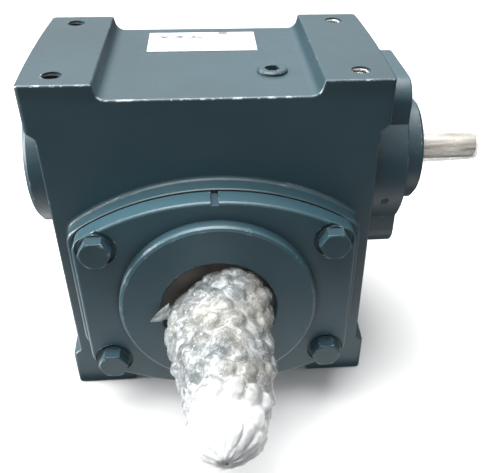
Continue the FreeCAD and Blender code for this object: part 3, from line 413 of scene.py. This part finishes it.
SLACK = 1.9 * MM
RIGHT_SWELL = 2.6 * MM
MOUTH_SWELL = 2.6 * MM
UPPER_LEFT_HOLLOW = 6.5 * MM
LEFT_HOLLOW = 4.6 * MM
OUTER_GATHER = 7.5 * MM
INNER_GATHER = 13.5 * MM
CLOSING_LENGTH = 11 * MM


def wrap_stations():
    """The packing's outer radius along the shaft, read from its CAD solid."""
    widest = {}
    for vertex in NODES["output_wrap"].data.vertices:
        along = round(-vertex.co.y, 5)
        radius = math.hypot(vertex.co.x, vertex.co.z - OUTPUT_HEIGHT)
        widest[along] = max(widest.get(along, 0.0), radius)
    return sorted(widest.items())


def bubble_height(across, along, chance):
    """Height of the nearest bubble of a staggered grid, 0 to 1; chance gives each its own."""
    row_pitch = BUBBLE_PITCH * math.sqrt(3) / 2
    nearest = None
    row_guess = round(along / row_pitch)
    for row in (row_guess - 1, row_guess, row_guess + 1):
        shift = 0.5 * BUBBLE_PITCH * (row % 2)
        column = round((across - shift) / BUBBLE_PITCH)
        gap = math.hypot(across - shift - column * BUBBLE_PITCH, along - row * row_pitch)
        if nearest is None or gap < nearest[0]:
            nearest = (gap, row, column)
    gap, row, column = nearest
    if gap >= BUBBLE_RADIUS:
        return 0.0
    fullness = chance.setdefault((row, column), random.uniform(0.25, 1.05))
    return fullness * math.sqrt(1 - (gap / BUBBLE_RADIUS) ** 2.4)


def wrap_radius(base, part, gather, angle):
    """Outside radius of the packing at a part of its length, without bubbles and creases.

    It swells to the right, fills the upper right of the hub's mouth, is hollow at the upper
    left near the hub and at the left further out, and draws in past the shaft's end."""
    in_mouth = max(1 - part / 0.25, 0.0)
    near_hub = max(1 - part / 0.4, 0.0)
    past_mouth = clamped((part - 0.25) / 0.45)
    radius = base + SLACK
    radius += RIGHT_SWELL * part * facing(angle, 15)
    radius += MOUTH_SWELL * in_mouth * facing(angle, 45) ** 2
    radius -= UPPER_LEFT_HOLLOW * near_hub * facing(angle, 125) ** 3
    radius -= LEFT_HOLLOW * past_mouth * (1 - gather) * facing(angle, 180)
    radius -= OUTER_GATHER * gather ** 1.5
    return radius


def crumple(where):
    """How far sagging and creases move the film outwards at a point."""
    sag = 1.8 * MM * noise.noise(where * 75)
    wide_crease = 1.8 * MM * (0.5 - abs(noise.noise(where * 120)))
    narrow_crease = 0.9 * MM * (0.5 - abs(noise.noise(where * 260)))
    return sag + wide_crease + narrow_crease - 1.3 * MM


def bubble_wrap():
    """One sheet wound round the shaft, bubbles outward, squashed and creased.

    It stays inside the hub's bore up to the mouth, and closes to a tip past the shaft's end."""
    random.seed(11)
    stations = wrap_stations()
    start, end = stations[0][0], stations[-1][0]
    mouth = -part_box("output_cover_front")[0][1] + 1.0 * MM
    bore_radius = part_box("output_seal_case")[1][0] - 0.5 * MM
    sheet_length = 2 * math.pi * WRAP_MEAN_RADIUS * TURNS
    columns = int(sheet_length / FILM_GRID)
    rows = int((end - start) / FILM_GRID)
    chance = {}
    points = []
    heights = []
    for row in range(rows + 1):
        part = row / rows
        along = start + (end - start) * part
        gather = clamped((along - SHAFT_END) / (end - SHAFT_END))
        closing = clamped((along - end + CLOSING_LENGTH) / CLOSING_LENGTH)
        inner = WRAP_BORE - INNER_GATHER * gather ** 1.4
        base = blend_stations(stations, along)
        for column in range(columns + 1):
            wound = column / columns
            angle = SHEET_END_ANGLE - 2 * math.pi * TURNS * (1 - wound)
            rise = bubble_height(sheet_length * wound, along - start, chance)
            share = 1.0 if wound > 1 - 1 / TURNS else INNER_BUBBLE_SHARE
            where = Vector((WRAP_MEAN_RADIUS * math.cos(angle), -along, WRAP_MEAN_RADIUS * math.sin(angle)))
            where.x += 0.09 * wound
            room = (wrap_radius(base, part, gather, angle) - BUBBLE_RISE - inner) * wound ** 0.7
            radius = inner + room + rise * BUBBLE_RISE * share + crumple(where) * (0.35 + 0.65 * wound)
            if along < mouth:
                radius = min(radius, bore_radius)
            radius *= math.sqrt(1 - 0.98 * closing ** 2)
            swung = angle + 0.07 * noise.noise(where * 60 + Vector((7, 0, 0)))
            ragged = 3 * MM * noise.noise(Vector((14 * wound, 3, 0))) * part ** 3 * (1 - closing)
            points.append((radius * math.cos(swung), -along + ragged,
                           OUTPUT_HEIGHT + radius * math.sin(swung)))
            heights.append(rise)
    made = finished("bubble_wrap", points, grid_faces(rows + 1, columns + 1), bubble_film(),
                    "output_packing")
    layer = made.data.attributes.new("dome", "FLOAT", "POINT")
    layer.data.foreach_set("value", heights)
    thicken(made, 0.2 * MM, -1.0)
    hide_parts("output_wrap")


def wrap_corner():
    """The loose corner of the sheet, sticking out to the left in front of the hub."""
    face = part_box("output_cover_front")[0][1] - 1.2 * MM
    root, length, width = 22.5 * MM, 9.6 * MM, 9 * MM
    root_height, drop = 5.0 * MM, 7.2 * MM
    rows, columns = 9, 12
    points = []
    for row in range(rows):
        across = row / (rows - 1)
        for column in range(columns):
            out = column / (columns - 1)
            narrowing = (1 - out) ** 0.8
            height = OUTPUT_HEIGHT + root_height - drop * out + (across - 0.5) * width * narrowing
            bend = 1.4 * MM * math.sin(3.0 * across + 2.2 * out) + 0.5 * MM * math.sin(9 * across)
            points.append((-root - length * out, face - (2.6 - out) * MM - bend * narrowing, height))
    film = thin_film("bubble_wrap_corner", (0.20, 0.23, 0.23), (0.34, 0.37, 0.37),
                     clearest=0.25, milkiest=0.6, along=200)
    made = finished("bubble_wrap_corner", points, grid_faces(rows, columns), film,
                    "output_packing")
    thicken(made, 0.25 * MM, 0.0)


# ---- clear film on the input shaft --------------------------------------------------------

def input_film():
    """A tube of film over the shaft, gathered over its end, and a corner standing up from it."""
    low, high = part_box("input_wrap")
    start, end = low[0], high[0] - 0.6 * MM
    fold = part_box("worm_shaft")[1][0] + 0.3 * MM
    radius = 0.91 * (high[2] - low[2]) / 2
    core = mount("input_shaft")["dims"]["r_mm"] * MM + 0.5 * MM
    draw_in = radius - core - 0.4 * MM
    columns, rows = 96, 70
    points = []
    for row in range(rows + 1):
        part = row / rows
        along = start + (end - start) * part
        closing = clamped((along - fold) / (end - fold))
        taper = clamped((part - 0.45) / 0.5)
        for column in range(columns):
            angle = 2 * math.pi * column / columns
            size = radius - draw_in * taper * (0.45 + 0.55 * facing(angle, 270))
            where = Vector((along * 14, math.cos(angle) * 2.1, math.sin(angle) * 2.1))
            size += 0.55 * MM * noise.noise(where) + 0.5 * MM * (0.5 - abs(noise.noise(where * 2.3)))
            size = max(size, core)
            size *= math.sqrt(max(1 - closing ** 2, 0.0)) * 0.97 + 0.03
            flattened = size * (1 - 0.35 * closing)
            points.append((along, flattened * math.cos(angle), INPUT_HEIGHT + size * math.sin(angle)))
    film = thin_film("input_film", (0.58, 0.53, 0.47), (0.85, 0.83, 0.78), clearest=0.08, milkiest=0.50)
    made = finished("input_film", points, grid_faces(rows + 1, columns, wrap=True), film,
                    "input_packing")
    thicken(made, 0.15 * MM, 1.0)
    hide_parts("input_wrap")
    film_corner(end, film)


def film_corner(end, film):
    """The corner of the input film that stands up near its end."""
    width, rise = 5.5 * MM, 5.0 * MM
    root_height = INPUT_HEIGHT + 4.4 * MM
    rows, columns = 8, 10
    points = []
    for row in range(rows):
        up = row / (rows - 1)
        for column in range(columns):
            out = column / (columns - 1)
            reach = end - width * (1 - out) * (1 - 0.75 * up)
            sway = 0.7 * MM * math.sin(5 * up + 4 * out)
            points.append((reach, sway - 0.4 * MM, root_height + rise * up))
    made = finished("input_film_corner", points, grid_faces(rows, columns), film,
                    "input_packing")
    thicken(made, 0.3 * MM, 0.0)


# ---- threads in the mounting holes --------------------------------------------------------

HOLE_SIGNS = ((1, 1), (1, -1), (-1, 1), (-1, -1))
THREAD_PROFILE = (0.0, 0.55, 1.0, 0.45)
THREAD_HEIGHT = 0.55 * MM


def thread_liner(name, mouth, inward, radius, depth, pitch, material):
    """The cut thread on the wall of a tapped hole, a spiral whose profile repeats each pitch."""
    axis = Vector(inward)
    side = axis.orthogonal().normalized()
    other = axis.cross(side)
    columns = 40
    per_pitch = len(THREAD_PROFILE)
    steps = int(per_pitch * depth / pitch)
    wall_gap, mouth_gap = 0.06 * MM, 0.3 * MM
    points = []
    for step in range(steps + 1):
        ring = radius - wall_gap - THREAD_HEIGHT * THREAD_PROFILE[step % per_pitch]
        for column in range(columns):
            turn = column / columns
            travel = (step / per_pitch + turn) * pitch
            spot = Vector(mouth) + axis * (mouth_gap + min(travel, depth))
            angle = 2 * math.pi * turn
            points.append(spot + side * ring * math.cos(angle) + other * ring * math.sin(angle))
    faces = []
    for step in range(steps):
        for column in range(columns):
            following = (column + 1) % columns
            lift = per_pitch if following == 0 else 0
            if step + 1 + lift <= steps:
                faces.append((step * columns + column, (step + lift) * columns + following,
                              (step + 1 + lift) * columns + following, (step + 1) * columns + column))
    finished(name, points, faces, material, "gear_case")


def tapped_holes():
    """Threads in the holes of the base, the top and the input side's ears.

    The threads in the base and top holes on the left are dark, and the others are bare."""
    bare = steel("cut_thread", (0.72, 0.72, 0.70), 0.25)
    # Dark threads for the holes on the left.
    dark_liner = plain_solid("dark_thread", (0.006, 0.012, 0.015), (0.014, 0.026, 0.032), 0.5)
    for name, inward in (("base_bolts", 1), ("top_bolts", -1)):
        found = mount(name)
        dims = found["dims"]
        for number, (side_x, side_y) in enumerate(HOLE_SIGNS):
            mouth = (side_x * dims["spacing_x_mm"] / 2 * MM, side_y * dims["spacing_y_mm"] / 2 * MM,
                     found["pos_m"][2])
            thread_liner(f"{name}_thread_{number}", mouth, (0, 0, inward), dims["hole_r_mm"] * MM,
                         depth=14 * MM, pitch=1.6 * MM, material=bare if side_x > 0 else dark_liner)
    found = mount("adapter_bolts")
    dims = found["dims"]
    for number, (side_y, side_z) in enumerate(HOLE_SIGNS):
        mouth = (found["pos_m"][0], side_y * dims["spacing_x_mm"] / 2 * MM,
                 found["pos_m"][2] + side_z * dims["spacing_y_mm"] / 2 * MM)
        thread_liner(f"adapter_thread_{number}", mouth, (-1, 0, 0), dims["hole_r_mm"] * MM,
                     depth=12 * MM, pitch=1.4 * MM, material=bare)


# ---- stage ------------------------------------------------------------------------------

CAMERA_PLACE = (-0.0002, -0.3091, 0.2714)
CAMERA_YAW = math.radians(5.76)
CAMERA_PITCH = math.radians(36.96)
CAMERA_ROLL = math.radians(1.04)


def camera():
    """The photograph's view: from the front and above, turned a little to the right."""
    data = bpy.data.cameras.new("camera")
    data.sensor_width = 36.0
    data.lens = 47.09
    data.shift_x = -0.0393
    data.shift_y = 0.0643
    data.clip_start = 0.01
    made = bpy.data.objects.new("camera", data)
    turn = (Matrix.Rotation(-CAMERA_YAW, 4, "Z") @ Matrix.Rotation(math.pi / 2 - CAMERA_PITCH, 4, "X")
            @ Matrix.Rotation(CAMERA_ROLL, 4, "Z"))
    made.matrix_world = Matrix.Translation(CAMERA_PLACE) @ turn
    bpy.context.scene.collection.objects.link(made)
    bpy.context.scene.camera = made


def lamp(name, place, aim, size, power):
    """A rectangular area light that the camera doesn't see."""
    data = bpy.data.lights.new(name, "AREA")
    data.shape = "RECTANGLE"
    data.size, data.size_y = size
    data.energy = power
    made = bpy.data.objects.new(name, data)
    made.location = place
    made.rotation_euler = (Vector(aim) - Vector(place)).to_track_quat("-Z", "Y").to_euler()
    made.visible_camera = False
    bpy.context.scene.collection.objects.link(made)


def dome_mesh(reach, rings, spokes):
    """A round floor whose edge turns up into a dome, with the same number of rings in each."""
    points = [(0.0, 0.0, 0.0)]
    for ring in range(1, 2 * rings + 1):
        flat = min(ring / rings, 1.0)
        rise = math.pi / 2 * max(ring / rings - 1, 0.0)
        radius = reach * flat * math.cos(rise) + 1.0 * MM
        for spoke in range(spokes):
            turn = 2 * math.pi * spoke / spokes
            points.append((radius * math.cos(turn), radius * math.sin(turn), reach * math.sin(rise)))
    faces = [(0, 1 + spoke, 1 + (spoke + 1) % spokes) for spoke in range(spokes)]
    for ring in range(2 * rings - 1):
        inner, outer = 1 + ring * spokes, 1 + (ring + 1) * spokes
        for spoke in range(spokes):
            following = (spoke + 1) % spokes
            faces.append((inner + spoke, outer + spoke, outer + following, inner + following))
    mesh = bpy.data.meshes.new("backdrop")
    mesh.from_pydata(points, [], faces)
    mesh.shade_smooth()
    return mesh


def backdrop_white():
    """Pale grey that takes shadows near the part, fading into an even white glow."""
    g = Graph("backdrop")
    tone = g.mix(g.noise(3, 2), rgb(0.62, 0.62, 0.62), rgb(0.65, 0.65, 0.65))
    distance = g.add("VectorMath", {0: g.position()}, operation="LENGTH").outputs["Value"]
    near = g.principled(Base_Color=tone, Roughness=0.9)
    glow = g.add("Emission", {"Color": rgb(0.94, 0.94, 0.95)}).outputs["Emission"]
    both = g.add("MixShader", {0: g.remap(distance, 0.5, 1.1), 1: near, 2: glow})
    return g.done(both.outputs["Shader"])


def backdrop():
    """A pale floor that takes shadows and turns up into an even white dome all round.

    It only shows; the light that a floor would throw back comes from the world and the cards."""
    mesh = dome_mesh(reach=2.4, rings=24, spokes=48)
    mesh.materials.append(backdrop_white())
    made = bpy.data.objects.new("backdrop", mesh)
    made.location.z = -0.3 * MM
    made.visible_diffuse = False
    made.visible_glossy = False
    made.visible_shadow = False
    bpy.context.scene.collection.objects.link(made)


def sky():
    """Dim below the horizon, dark just above it and bright overhead.

    Each stop is a height, where 0 is straight down, 0.5 the horizon and 1 straight up, and
    how bright the world is there."""
    stops = ((0.0, 0.18), (0.485, 0.18), (0.50, 0.02), (0.60, 0.02), (0.66, 0.72))
    world = bpy.data.worlds.new("world")
    world.use_nodes = True
    tree = world.node_tree
    where = tree.nodes.new("ShaderNodeTexCoord")
    split = tree.nodes.new("ShaderNodeSeparateXYZ")
    height = tree.nodes.new("ShaderNodeMapRange")
    ramp = tree.nodes.new("ShaderNodeValToRGB")
    height.inputs["From Min"].default_value = -1.0
    tree.links.new(where.outputs["Generated"], split.inputs[0])
    tree.links.new(split.outputs["Z"], height.inputs["Value"])
    tree.links.new(height.outputs["Result"], ramp.inputs["Fac"])
    tree.links.new(ramp.outputs["Color"], tree.nodes["Background"].inputs["Color"])
    elements = ramp.color_ramp.elements
    while len(elements) < len(stops):
        elements.new(1.0)
    for element, (place, level) in zip(elements, stops):
        element.position = place
        element.color = rgb(0.97 * level, 0.98 * level, level)
    bpy.context.scene.world = world


def studio():
    """A large soft light above, one low on the left and a weak one behind.

    Two small cards on the floor stand for the light that a white table throws back up, in
    front of the cover and beside the left boss."""
    bpy.context.scene.view_settings.view_transform = "Standard"
    sky()
    lamp("top_light", place=(-0.15, 0.08, 1.25), aim=(0, 0.03, 0), size=(1.3, 1.0), power=41)
    lamp("back_light", place=(0.1, 1.05, 0.85), aim=(0, 0, 0.12), size=(1.4, 0.9), power=2.3)
    lamp("left_light", place=(-1.1, 0.0, 0.35), aim=(0, 0, 0.08), size=(0.5, 0.5), power=25)
    lamp("front_card", place=(0.035, -0.102, 0.002), aim=(0.035, -0.102, 0.3), size=(0.42, 0.10),
         power=0.13)
    lamp("left_card", place=(-0.135, -0.03, 0.002), aim=(-0.135, -0.03, 0.3), size=(0.08, 0.12),
         power=0.062)


dress_cad()
bubble_wrap()
wrap_corner()
input_film()
tapped_holes()
camera()
backdrop()
studio()
